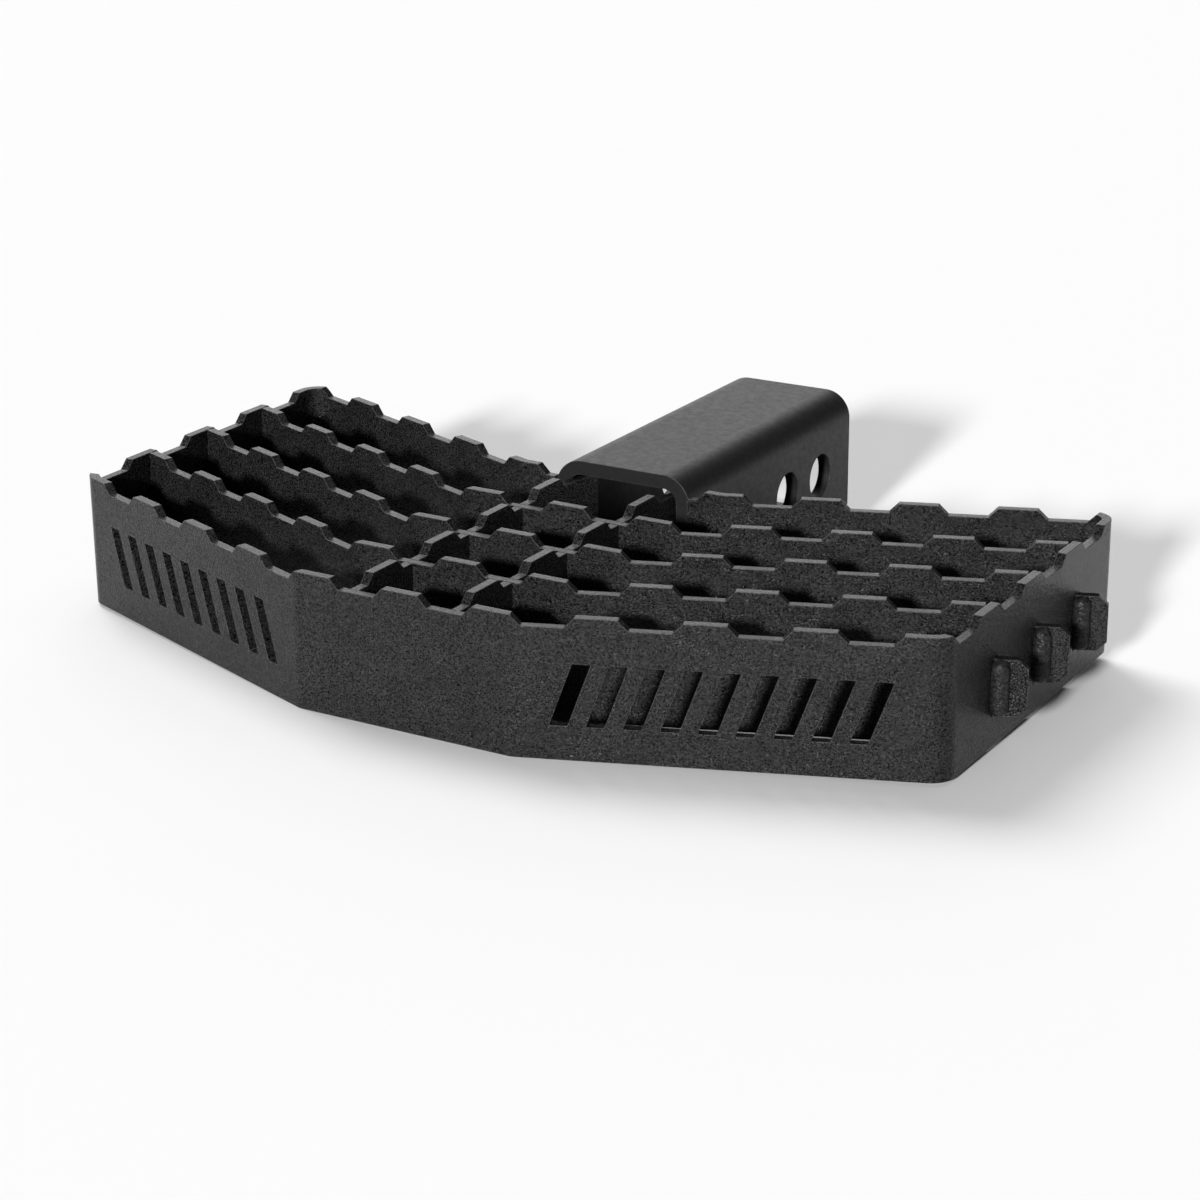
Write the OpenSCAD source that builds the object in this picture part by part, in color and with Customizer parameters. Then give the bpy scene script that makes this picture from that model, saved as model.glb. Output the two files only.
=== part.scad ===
// Hitch receiver step: a toothed band round an egg-crate of bars and ribs, welded to a square receiver tube.
// The front faces -Y, the tube points to +Y and up is +Z.
// The origin is the centre of the hitch pin hole that is nearest the tube's free end.

/* [Plates] */
// Thickness of the band, the bars and the ribs
plate_t = 3; // [2:0.25:4]
// Height of the plates at the valleys between the teeth
plate_h = 41.3; // [38:0.1:50]
// Inside radius of every bend
bend_r = 5; // [3:0.5:7]
// Distance between the ribs, between the middles of their thickness
rib_gap = 36.3; // [33:0.1:37.4]

/* [Teeth] */
// Distance between teeth along each plate, and between the bars
pitch = 31.75; // [29:0.25:33]
// Length of the flat top of a tooth
tooth_top = 12.7; // [9:0.1:15]
// Height of a tooth above the valleys, which is also the run of its sloping flanks
tooth_rise = 3.2; // [2:0.1:4]

/* [Band] */
// Width across the outside of the two side plates
band_w = 316; // [290:1:340]
// Distance from the front plate to the rear plate, between the middles of their thickness
band_d = 129.5; // [125:0.5:150]
// Width of the middle facet between its two bends
facet_w = 76.2; // [70:0.1:90]
// Angle by which the outer facets are swept back
sweep = 20.5; // [15:0.5:24]

/* [Windows in the front facets] */
// Number of windows in each swept front facet
window_n = 9; // [3:1:10]
// Width of a window
window_w = 5.5; // [3:0.5:7]
// Height of a window
window_h = 19.5; // [12:0.5:24]
// Height of the lower edge of the windows
window_z = 10.8; // [8:0.1:14]
// Distance between windows
window_step = 11; // [9:0.5:12]
// Lean of the windows away from the vertical
window_lean = 20; // [0:1:30]

/* [Tabs on the bars] */
// Height of a tab
tab_h = 18; // [14:0.5:24]
// Height of the lower edge of the tabs
tab_z = 10; // [6:0.5:12]
// Length of a tab beyond the outside of the side plate
tab_out = 9.5; // [7:0.5:14]
// Size of the bevels on the outer corners of a tab
tab_bevel = 3; // [1:0.5:5]
// Clearance round a tab in its slot, and in the half-lapped joints
slot_gap = 0.2; // [0.1:0.05:0.4]

/* [Receiver tube] */
// Outside size of the square tube
tube_size = 50.8; // [50:0.1:52]
// Thickness of the tube's wall
tube_wall = 4.76; // [4:0.01:5.5]
// Outside radius of the tube's corners
tube_r = 9.5; // [7:0.5:11]
// Length of the tube
tube_len = 120; // [90:1:200]
// Distance of the tube's front end behind the front face of the rear plate
tube_setback = 1.5; // [0:0.5:3]
// Diameter of the hitch pin holes
pin_d = 16.3; // [15.9:0.1:17.5]
// Distance from the tube's free end to the nearest pin hole
pin_inset = 23; // [20:1:32]
// Distance between the two pin holes
pin_step = 25.4; // [22:0.1:32]
// Length of the ribs' tongues inside the tube
tongue_len = 12; // [6:1:20]

/* [Welds] */
// Radius of the beads on the tabs
tab_weld_r = 3; // [2.8:0.1:4]
// Distance of a tab bead's axis from the side plate, along the tab
tab_weld_out = 1.8; // [0:0.1:2]
// Radius of the beads on the tube
tube_weld_r = 3.3; // [2:0.1:4]

/* [Hidden] */
$fn = 96;

// Colour of the coat
coat = [0.17, 0.17, 0.175];
// Reach of a cutter past the face that it cuts
past = 1;
// Largest turn between two points of a bend
bend_step = 5;
tooth_h = plate_h + tooth_rise;
valley_l = pitch - tooth_top - 2 * tooth_rise;
// Radius of the middle of the plate in a bend
mid_r = bend_r + plate_t / 2;
half_w = band_w / 2;
// Length of a swept facet between the sharp corners of the plate's middle
facet_l = (half_w - plate_t / 2 - facet_w / 2) / cos(sweep);
tube_z = tooth_h / 2;
tube_in = tube_size - 2 * tube_wall;
// Distance of the ribs from the middle plane, held to what the tube takes of their tongues
rib_x = min(rib_gap, tube_in - plate_t - 2 * slot_gap) / 2;
tube_front = band_d - plate_t / 2 + tube_setback;
pin_y = tube_front + tube_len - pin_inset;

// Each path is a list of [distance to the next sharp corner, turn to the left there], from the middle outwards
band_path = [
    [facet_w / 2, sweep], [facet_l, 90 - sweep], [band_d, 90 + sweep], [facet_l, -sweep],
    [(facet_w - tube_size) / 2, 0]
];
// The shoulder of a bar ends where the front corner of its end meets the side plate
shoulder_x = half_w - plate_t - plate_t / 2 * sin(sweep);
shoulder_l = (shoulder_x - facet_w / 2) / cos(sweep);
// Length of a tab from the shoulder to the tip
tab_l = (half_w - shoulder_x) / cos(sweep) + tab_out;
bar_path = [[facet_w / 2, sweep], [shoulder_l + tab_l, 0]];

// Length that a bend takes from the straight on each side of its corner
function tangent(turn) = mid_r * tan(abs(turn) / 2);
function arc(turn) = mid_r * abs(turn) * PI / 180;
function straight(path, i) = path[i][0] - tangent(i > 0 ? path[i - 1][1] : 0) - tangent(path[i][1]);
// A pose is [x, y, heading]
function ahead(pose, d) = [pose.x + d * cos(pose.z), pose.y + d * sin(pose.z), pose.z];
function bent(pose, turn) = [
    pose.x + sign(turn) * mid_r * (sin(pose.z + turn) - sin(pose.z)),
    pose.y - sign(turn) * mid_r * (cos(pose.z + turn) - cos(pose.z)),
    pose.z + turn
];
// Pose at the start of step i of a path
function start(path, i) = i == 0 ? [0, 0, 0] : bent(ahead(start(path, i - 1), straight(path, i - 1)), path[i - 1][1]);
// Pose at the length s along the middle of a bent plate
function along(path, s, i = 0) =
    s <= straight(path, i) || i == len(path) - 1 ? ahead(start(path, i), s)
    : s <= straight(path, i) + arc(path[i][1])
        ? bent(ahead(start(path, i), straight(path, i)), path[i][1] * (s - straight(path, i)) / arc(path[i][1]))
    : along(path, s - straight(path, i) - arc(path[i][1]), i + 1);
function total(path, i = 0) = i == len(path) ? 0 : straight(path, i) + arc(path[i][1]) + total(path, i + 1);

function beside(pose, off) = [pose.x - off * sin(pose.z), pose.y + off * cos(pose.z)];
// Points of a line that runs beside a path, to its left by the distance off
function side_points(path, off) = [
    for (i = [0 : len(path) - 1])
        let (corner = ahead(start(path, i), straight(path, i)), turn = path[i][1], n = ceil(abs(turn) / bend_step))
            each n == 0 ? [beside(corner, off)] : [for (j = [0 : n]) beside(bent(corner, turn * j / n), off)]
];
function reversed(points) = [for (i = [len(points) - 1 : -1 : 0]) points[i]];

// Moves a child to a pose, with its own +X along the heading
module at(pose) {
    translate([pose.x, pose.y, 0]) rotate(pose.z) children();
}

// Moves the step from the middle of the front plate's lower edge to the pin hole's centre
module from_pin() {
    translate([0, -pin_y, -tube_z]) children();
}

module both_sides() {
    children();
    mirror([1, 0, 0]) children();
}

// Extrudes a side view, drawn with x along the plate and y up, across the plate and past both its faces
module across(t) {
    translate([0, t / 2, 0]) rotate([90, 0, 0]) linear_extrude(t) children();
}

// A bent plate of even height, in both halves
module plain_strip(path) {
    right = concat(side_points(path, -plate_t / 2), reversed(side_points(path, plate_t / 2)));
    linear_extrude(tooth_h) polygon(concat(right, reversed([for (p = right) [-p.x, p.y]])));
}

// Cuts the valley between tooth n and tooth n + 1 where the plate is straight
module straight_valley(path, n) {
    at(along(path, (n + 0.5) * pitch)) across(plate_t + 2 * past) polygon([
        [-valley_l / 2, plate_h], [valley_l / 2, plate_h],
        [valley_l / 2 + tooth_rise + past, tooth_h + past], [-valley_l / 2 - tooth_rise - past, tooth_h + past]
    ]);
}

// Cuts a valley that reaches into a bend: short level cuts that follow the plate, and a sloping cut at each end
module bent_valley(path, n) {
    cuts = 4;
    level_l = valley_l - 2 * past;
    cut_l = level_l / cuts;
    middle = (n + 0.5) * pitch;
    for (i = [0 : cuts - 1])
        at(along(path, middle - level_l / 2 + (i + 0.5) * cut_l))
            translate([-(cut_l + past) / 2, -plate_t / 2 - past, plate_h])
                cube([cut_l + past, plate_t + 2 * past, tooth_rise + past]);
    for (side = [-1, 1])
        at(along(path, middle + side * (valley_l + tooth_rise) / 2)) across(plate_t + 2 * past) polygon([
            [-side * (tooth_rise / 2 + 2 * past), plate_h], [-side * tooth_rise / 2, plate_h],
            [side * (tooth_rise / 2 + past), tooth_h + past],
            [-side * (tooth_rise / 2 + 2 * past), tooth_h + past]
        ]);
}

module valley(path, n) {
    reach = valley_l / 2 + tooth_rise;
    first = along(path, (n + 0.5) * pitch - reach);
    last = along(path, (n + 0.5) * pitch + reach);
    if (first.z == last.z) straight_valley(path, n);
    else bent_valley(path, n);
}

// A bent plate with teeth along its top
module toothed_strip(path) {
    difference() {
        plain_strip(path);
        both_sides() for (n = [0 : ceil(total(path) / pitch) - 1]) valley(path, n);
    }
}

// Leaning windows in a row along the middle of the swept front facet
module windows() {
    lean = window_h * tan(window_lean);
    middle = ahead(start(band_path, 1), straight(band_path, 1) / 2);
    for (i = [0 : window_n - 1])
        at(ahead(middle, (i - (window_n - 1) / 2) * window_step)) across(plate_t + 2 * past) polygon([
            [-(window_w + lean) / 2, window_z], [(window_w - lean) / 2, window_z],
            [(window_w + lean) / 2, window_z + window_h], [(lean - window_w) / 2, window_z + window_h]
        ]);
}

// Slots in the side plate for the tabs of the three bars
module tab_slots() {
    slot_l = plate_t / cos(sweep) + plate_t * tan(sweep) + 2 * slot_gap;
    for (i = [1 : 3])
        translate([half_w - plate_t - past, bar_end_y(i) - slot_l / 2, tab_z - slot_gap])
            cube([plate_t + 2 * past, slot_l, tab_h + 2 * slot_gap]);
}

// Where the middle of bar i crosses the middle of the side plate
function bar_end_y(i) = i * pitch + (half_w - plate_t / 2 - facet_w / 2) * tan(sweep);

module outer_band() {
    color(coat) from_pin() difference() {
        toothed_strip(band_path);
        both_sides() {
            windows();
            tab_slots();
        }
    }
}

// Cuts the end of a bar down to its bevelled tab, from the shoulder outwards
module tab_cut() {
    at(along(bar_path, total(bar_path) - tab_l)) across(plate_t + 2 * past) difference() {
        translate([0, -past]) square([tab_l + past, tooth_h + 2 * past]);
        polygon([
            [-past, tab_z], [tab_l - tab_bevel, tab_z], [tab_l, tab_z + tab_bevel],
            [tab_l, tab_z + tab_h - tab_bevel], [tab_l - tab_bevel, tab_z + tab_h], [-past, tab_z + tab_h]
        ]);
    }
}

// Bar i, open below where it drops over the two ribs
module bar(i) {
    lap_w = plate_t + 2 * slot_gap;
    color(coat) from_pin() translate([0, i * pitch, 0]) difference() {
        toothed_strip(bar_path);
        both_sides() {
            tab_cut();
            translate([rib_x - lap_w / 2, -plate_t / 2 - past, -past])
                cube([lap_w, plate_t + 2 * past, plate_h / 2 + past]);
        }
    }
}

module bar_front() {
    bar(1);
}

module bar_middle() {
    bar(2);
}

module bar_rear() {
    bar(3);
}

// Side view of a rib: x runs from the middle of the front plate to the end of the tongue.
// The tongue clears the tube's floor, roof and inside corners.
module rib_side() {
    teeth = 4;
    tooth_foot = tooth_top / 2 + tooth_rise;
    inside_r = tube_r - tube_wall;
    into_corner = max(0, rib_x + (plate_t - tube_in) / 2 + inside_r);
    corner_rise = inside_r - sqrt(inside_r ^ 2 - into_corner ^ 2);
    floor_z = tube_z - tube_in / 2 + corner_rise + slot_gap;
    roof_z = tube_z + tube_in / 2 - corner_rise - slot_gap;
    step_y = tube_front - slot_gap;
    polygon([
        [plate_t / 2, 0], [plate_t / 2, plate_h],
        for (k = [0 : teeth - 1]) each [
            [(k + 0.5) * pitch - tooth_foot, plate_h], [(k + 0.5) * pitch - tooth_top / 2, tooth_h],
            [(k + 0.5) * pitch + tooth_top / 2, tooth_h], [(k + 0.5) * pitch + tooth_foot, plate_h]
        ],
        if (roof_z < plate_h) each [[step_y, plate_h], [step_y, roof_z]],
        [tube_front + tongue_len, min(plate_h, roof_z)], [tube_front + tongue_len, floor_z],
        [step_y, floor_z], [step_y, 0]
    ]);
}

// Rib on one side, open above where the three bars drop in
module rib(side) {
    lap_w = plate_t + 2 * slot_gap;
    color(coat) from_pin() translate([side * rib_x, 0, 0]) rotate(90) difference() {
        across(plate_t) rib_side();
        for (i = [1 : 3])
            translate([i * pitch - lap_w / 2, -plate_t / 2 - past, plate_h / 2])
                cube([lap_w, plate_t + 2 * past, plate_h / 2 + past]);
    }
}

module rib_left() {
    rib(-1);
}

module rib_right() {
    rib(1);
}

module rounded_square(size, r) {
    square([size, size - 2 * r], center = true);
    square([size - 2 * r, size], center = true);
    for (x = [-1, 1], y = [-1, 1]) translate([x, y] * (size / 2 - r)) circle(r);
}

module receiver_tube() {
    color(coat) from_pin() difference() {
        translate([0, tube_front + tube_len, tube_z]) rotate([90, 0, 0]) linear_extrude(tube_len) difference() {
            rounded_square(tube_size, tube_r);
            rounded_square(tube_in, tube_r - tube_wall);
        }
        for (i = [0, 1])
            translate([-tube_size / 2 - past, pin_y - i * pin_step, tube_z]) rotate([0, 90, 0])
                cylinder(d = pin_d, h = tube_size + 2 * past);
    }
}

// Upright bead of weld with round ends, filling the given angle from +X
module bead(r, angle, h) {
    rotate_extrude(angle = angle) intersection() {
        square([r, h]);
        union() {
            translate([0, r]) square([r, h - 2 * r]);
            translate([0, r]) circle(r);
            translate([0, h - r]) circle(r);
        }
    }
}

// Bead on the front of a tab of bar i, up to the side plate
module tab_weld(side, i) {
    root_y = i * pitch + (half_w - facet_w / 2) * tan(sweep) - plate_t / 2 / cos(sweep);
    reach = tab_weld_out + 2 * tab_weld_r;
    color(coat) from_pin() mirror([side < 0 ? 1 : 0, 0, 0]) translate([half_w, root_y, tab_z]) intersection() {
        rotate(sweep) translate([tab_weld_out, 0, 0]) rotate(180) bead(tab_weld_r, 180, tab_h);
        translate([0, -reach, 0]) cube([reach, 2 * reach, tab_h]);
    }
}

module tab_weld_left_front() {
    tab_weld(-1, 1);
}

module tab_weld_left_middle() {
    tab_weld(-1, 2);
}

module tab_weld_left_rear() {
    tab_weld(-1, 3);
}

module tab_weld_right_front() {
    tab_weld(1, 1);
}

module tab_weld_right_middle() {
    tab_weld(1, 2);
}

module tab_weld_right_rear() {
    tab_weld(1, 3);
}

// Bead behind the rear plate, along the flat part of the tube's side
module tube_weld(side) {
    color(coat) from_pin() mirror([side < 0 ? 1 : 0, 0, 0])
        translate([tube_size / 2, band_d + plate_t / 2, tube_z - tube_size / 2 + tube_r])
            bead(tube_weld_r, 90, tube_size - 2 * tube_r);
}

module tube_weld_left() {
    tube_weld(-1);
}

module tube_weld_right() {
    tube_weld(1);
}

outer_band();
bar_front();
bar_middle();
bar_rear();
rib_left();
rib_right();
receiver_tube();
tab_weld_left_front();
tab_weld_left_middle();
tab_weld_left_rear();
tab_weld_right_front();
tab_weld_right_middle();
tab_weld_right_rear();
tube_weld_left();
tube_weld_right();
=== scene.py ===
"""Looks of the hitch receiver step: coats, welds, studio floor, lights and camera."""
import math

import bpy
from mathutils import Matrix, Vector


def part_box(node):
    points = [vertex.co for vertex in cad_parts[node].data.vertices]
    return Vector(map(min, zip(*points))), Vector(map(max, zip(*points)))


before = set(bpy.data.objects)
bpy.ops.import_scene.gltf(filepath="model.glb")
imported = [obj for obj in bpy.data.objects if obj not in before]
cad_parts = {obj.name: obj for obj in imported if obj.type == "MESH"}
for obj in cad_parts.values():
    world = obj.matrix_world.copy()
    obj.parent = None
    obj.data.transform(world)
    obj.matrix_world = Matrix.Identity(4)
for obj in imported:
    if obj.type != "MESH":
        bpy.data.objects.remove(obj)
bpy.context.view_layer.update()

MM_PER_M = 1000.0

# Camera fitted to the photograph's frame of 1200 px; places in metres, turns in degrees
IMAGE_PX = 1200
FOCAL_PX = 2878.94
SENSOR_MM = 36.0
CAMERA_AT = (0.46184, -0.88566, 0.30898)
CAMERA_YAW = 30.83
CAMERA_PITCH = 19.86
CAMERA_ROLL = -0.41
CAMERA_REACH = 100.0

# Coats. The colour of the coat, and the paler colour of its edges, which is partly worn coat and partly a painted
# highlight
BLACK = (0.0125, 0.0125, 0.0128)
WORN_AND_HIGHLIGHT_EDGE = (0.10, 0.10, 0.10)
# The grain is this much finer upwards than along
GRAIN_FLATTENED = 1.3
# Share of the grain's depth that is left on the plates' cut upper edges
TOP_GRAIN = 0.3
# Upward lean of a face, from the one where the grain starts to calm to the one where it is calm
CALM_FROM, CALM_TO = 0.3, 0.6
# Detail, roughness and distortion of the grain's noise, and of the patches' noise
GRAIN_NOISE = (1.5, 0.5, 0.8)
PATCH_NOISE = (2.0, 0.5, 0.0)
# Size of the patches, and the least and most that they change the tone
PATCH_MM = 14.0
PATCH_FROM, PATCH_TO = 0.3, 0.7
DRIFT_LOW, DRIFT_HIGH = 0.85, 1.15
# Cosine between the rounded and the flat normal, where the paler edge of wear and painted highlight starts and where
# it is full
WEAR_AND_HIGHLIGHT_FROM, WEAR_AND_HIGHLIGHT_TO = 0.99, 0.80
# Share of the edge's wear and painted highlight in the grain's pits, and the noise taken as pit and as peak there
WEAR_AND_HIGHLIGHT_IN_PITS = 0.4
WEAR_AND_HIGHLIGHT_PIT, WEAR_AND_HIGHLIGHT_PEAK = 0.35, 0.7
# Noise taken as the grain's pit and peak, and the pebbles' reach and their lowest height
GRAIN_PIT, GRAIN_PEAK = 0.35, 0.65
PEBBLE_REACH = 0.8
PEBBLE_LOW = 0.5
# Height of the relief where the gloss of the peaks is full
GLOSS_FULL = 0.8
# How much faster the painted highlight makes the grain's peaks paler than the painted shade makes its pits darker
PAINTED_HIGHLIGHT_GAIN = 2.0
EDGE_SAMPLES = 6


def link(tree, a, a_out, b, b_in):
    tree.links.new(a.outputs[a_out], b.inputs[b_in])


def coat(name, gloss_at, specular, grain_mm, grain_depth_mm, fine_mm, fine_depth_mm, painted_shade_and_highlight, edge_mm):
    """A powder coat: leathery grain over finer pebbles, duller in its pits, with painted shade darkening its pits,
    painted highlight paling its peaks, and softly rounded edges that are paler, partly from wear and partly from a
    painted highlight.

    gloss_at is (roughness of the peaks, roughness of the pits), and the painted shade and highlight setting is how
    much paler the painted highlight on the peaks is than the painted shade in the pits.
    """
    mat = bpy.data.materials.new(name)
    mat.use_nodes = True
    tree = mat.node_tree
    nodes = tree.nodes
    shader = nodes["Principled BSDF"]
    place = nodes.new("ShaderNodeTexCoord")
    where = nodes.new("ShaderNodeMapping")
    where.inputs["Scale"].default_value = (1.0, 1.0, GRAIN_FLATTENED)
    link(tree, place, "Object", where, "Vector")

    def noise(size_mm, detail, rough, distortion):
        n = nodes.new("ShaderNodeTexNoise")
        n.inputs["Scale"].default_value = MM_PER_M / size_mm
        n.inputs["Detail"].default_value = detail
        n.inputs["Roughness"].default_value = rough
        n.inputs["Distortion"].default_value = distortion
        link(tree, where, "Vector", n, "Vector")
        return n

    def ramp(source, out, low, high, a, b):
        r = nodes.new("ShaderNodeMapRange")
        r.inputs["From Min"].default_value = low
        r.inputs["From Max"].default_value = high
        r.inputs["To Min"].default_value = a
        r.inputs["To Max"].default_value = b
        link(tree, source, out, r, "Value")
        return r

    def product(a, a_out, b, b_out):
        m = nodes.new("ShaderNodeMath")
        m.operation = "MULTIPLY"
        link(tree, a, a_out, m, 0)
        link(tree, b, b_out, m, 1)
        return m

    def bump(height, out, depth_mm, below):
        b = nodes.new("ShaderNodeBump")
        b.inputs["Strength"].default_value = 1.0
        b.inputs["Distance"].default_value = depth_mm / MM_PER_M
        link(tree, height, out, b, "Height")
        link(tree, below, "Normal", b, "Normal")
        return b

    bevel = nodes.new("ShaderNodeBevel")
    bevel.samples = EDGE_SAMPLES
    bevel.inputs["Radius"].default_value = edge_mm / MM_PER_M
    grain = noise(grain_mm, *GRAIN_NOISE)
    fine = nodes.new("ShaderNodeTexVoronoi")
    fine.inputs["Scale"].default_value = MM_PER_M / fine_mm
    link(tree, where, "Vector", fine, "Vector")
    patches = noise(PATCH_MM, *PATCH_NOISE)

    # The cut upper edges of the plates are smoother than their faces
    geometry = nodes.new("ShaderNodeNewGeometry")
    facing = nodes.new("ShaderNodeSeparateXYZ")
    link(tree, geometry, "True Normal", facing, "Vector")
    calm = ramp(facing, "Z", CALM_FROM, CALM_TO, 1.0, TOP_GRAIN)
    low = bump(grain, "Fac", grain_depth_mm, bevel)
    link(tree, calm, "Result", low, "Strength")
    high = bump(fine, "Distance", -fine_depth_mm, low)
    link(tree, high, "Normal", shader, "Normal")

    # The coat is thinner and paler where an edge turns, by how far the rounded normal leaves the flat one; the
    # paleness is partly that wear and partly a painted highlight along the edges
    dot = nodes.new("ShaderNodeVectorMath")
    dot.operation = "DOT_PRODUCT"
    link(tree, geometry, "True Normal", dot, 0)
    link(tree, bevel, "Normal", dot, 1)
    edge = ramp(dot, "Value", WEAR_AND_HIGHLIGHT_FROM, WEAR_AND_HIGHLIGHT_TO, 0.0, 1.0)
    speckle = ramp(grain, "Fac", WEAR_AND_HIGHLIGHT_PIT, WEAR_AND_HIGHLIGHT_PEAK, WEAR_AND_HIGHLIGHT_IN_PITS, 1.0)
    wear_and_highlight = product(edge, "Result", speckle, "Result")

    # Height of the relief, from the pits to the peaks
    pebble = ramp(fine, "Distance", 0.0, PEBBLE_REACH, 1.0, PEBBLE_LOW)
    swell = ramp(grain, "Fac", GRAIN_PIT, GRAIN_PEAK, 0.0, 1.0)
    relief = product(pebble, "Result", swell, "Result")
    drift = ramp(patches, "Fac", PATCH_FROM, PATCH_TO, DRIFT_LOW, DRIFT_HIGH)
    level = product(relief, "Value", drift, "Result")
    # Painted shade and highlight: the base colour is darker in the grain's pits and paler on its peaks, standing in
    # for the shade in the relief's hollows and the light caught on its peaks
    relief_shade_and_highlight = nodes.new("ShaderNodeMix")
    relief_shade_and_highlight.data_type = "RGBA"
    relief_shade_and_highlight.inputs["A"].default_value = (*[c * (1.0 - painted_shade_and_highlight) for c in BLACK], 1.0)
    relief_shade_and_highlight.inputs["B"].default_value = (*[c * (1.0 + PAINTED_HIGHLIGHT_GAIN * painted_shade_and_highlight) for c in BLACK], 1.0)
    link(tree, level, "Value", relief_shade_and_highlight, "Factor")
    colour = nodes.new("ShaderNodeMix")
    colour.data_type = "RGBA"
    colour.inputs["B"].default_value = (*WORN_AND_HIGHLIGHT_EDGE, 1.0)
    link(tree, wear_and_highlight, "Value", colour, "Factor")
    link(tree, relief_shade_and_highlight, "Result", colour, "A")
    link(tree, colour, "Result", shader, "Base Color")
    peak, pit = gloss_at
    gloss = ramp(level, "Value", 0.0, GLOSS_FULL, pit, peak)
    link(tree, gloss, "Result", shader, "Roughness")
    shader.inputs["Specular IOR Level"].default_value = specular
    return mat


TEXTURED = coat(
    "textured_coat", gloss_at=(0.11, 0.25), specular=0.16, grain_mm=0.7, grain_depth_mm=0.5,
    fine_mm=0.5, fine_depth_mm=0.03, painted_shade_and_highlight=1.0, edge_mm=0.5,
)
SATIN = coat(
    "satin_coat", gloss_at=(0.40, 0.48), specular=0.2, grain_mm=2.5, grain_depth_mm=0.03,
    fine_mm=0.5, fine_depth_mm=0.008, painted_shade_and_highlight=0.15, edge_mm=0.5,
)
WELD = coat(
    "weld_coat", gloss_at=(0.20, 0.45), specular=0.2, grain_mm=1.2, grain_depth_mm=0.4,
    fine_mm=0.45, fine_depth_mm=0.07, painted_shade_and_highlight=0.7, edge_mm=0.4,
)

for node_name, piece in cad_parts.items():
    if node_name == "receiver_tube":
        look = SATIN
    elif "weld" in node_name:
        look = WELD
    else:
        look = TEXTURED
    for material_slot in piece.material_slots:
        material_slot.material = look

# Floor: it touches the front plate's lower edge and the lower edge of the tube's front end
band_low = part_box("outer_band")[0]
tube_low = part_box("receiver_tube")[0]
FLOOR_HALF = 20.0
FLOOR_GAP = 0.0001
FLOOR_COLOUR = (0.85, 0.85, 0.85, 1.0)
FLOOR_ROUGHNESS = 0.9
FLOOR_SPECULAR = 0.1


def floor_z(y):
    slope = (tube_low[2] - band_low[2]) / (tube_low[1] - band_low[1])
    return band_low[2] + slope * (y - band_low[1]) - FLOOR_GAP


floor_mesh = bpy.data.meshes.new("floor")
square = ((-FLOOR_HALF, -FLOOR_HALF), (FLOOR_HALF, -FLOOR_HALF), (FLOOR_HALF, FLOOR_HALF), (-FLOOR_HALF, FLOOR_HALF))
corners = [(x, y, floor_z(y)) for x, y in square]
floor_mesh.from_pydata(corners, [], [(0, 1, 2, 3)])
floor = bpy.data.objects.new("floor", floor_mesh)
bpy.context.scene.collection.objects.link(floor)
floor_mat = bpy.data.materials.new("floor_paper")
floor_mat.use_nodes = True
floor_shader = floor_mat.node_tree.nodes["Principled BSDF"]
floor_shader.inputs["Base Color"].default_value = FLOOR_COLOUR
floor_shader.inputs["Roughness"].default_value = FLOOR_ROUGHNESS
floor_shader.inputs["Specular IOR Level"].default_value = FLOOR_SPECULAR
floor_mesh.materials.append(floor_mat)

# World: a dim studio all round
WORLD_COLOUR = (1.0, 1.0, 1.0, 1.0)
WORLD_FILL = 0.06
world = bpy.data.worlds.new("studio")
bpy.context.scene.world = world
world.use_nodes = True
background = world.node_tree.nodes["Background"]
background.inputs["Color"].default_value = WORLD_COLOUR
background.inputs["Strength"].default_value = WORLD_FILL


def sun(name, azimuth, elevation, power, angle):
    """A distant lamp; azimuth turns from the step's front towards its right side."""
    lamp = bpy.data.lights.new(name, "SUN")
    lamp.energy = power
    lamp.angle = math.radians(angle)
    holder = bpy.data.objects.new(name, lamp)
    bpy.context.scene.collection.objects.link(holder)
    az, el = math.radians(azimuth), math.radians(elevation)
    towards = Vector((math.sin(az) * math.cos(el), -math.cos(az) * math.cos(el), math.sin(el)))
    holder.rotation_mode = "QUATERNION"
    holder.rotation_quaternion = towards.to_track_quat("Z", "Y")


sun("front_lamp", azimuth=9, elevation=18, power=4.9, angle=6)
sun("side_lamp", azimuth=-115, elevation=45, power=2.0, angle=30)
sun("top_lamp", azimuth=180, elevation=70, power=0.4, angle=60)
sun("back_lamp", azimuth=-150, elevation=20, power=0.55, angle=40)

camera_data = bpy.data.cameras.new("camera")
camera_data.sensor_fit = "HORIZONTAL"
camera_data.sensor_width = SENSOR_MM
camera_data.lens = FOCAL_PX / IMAGE_PX * SENSOR_MM
camera_data.clip_end = CAMERA_REACH
camera = bpy.data.objects.new("camera", camera_data)
bpy.context.scene.collection.objects.link(camera)
turn = (
    Matrix.Rotation(math.radians(CAMERA_YAW), 4, "Z")
    @ Matrix.Rotation(math.radians(90.0 - CAMERA_PITCH), 4, "X")
    @ Matrix.Rotation(math.radians(CAMERA_ROLL), 4, "Z")
)
camera.matrix_world = Matrix.Translation(CAMERA_AT) @ turn
bpy.context.scene.camera = camera
bpy.context.scene.view_settings.view_transform = "Standard"
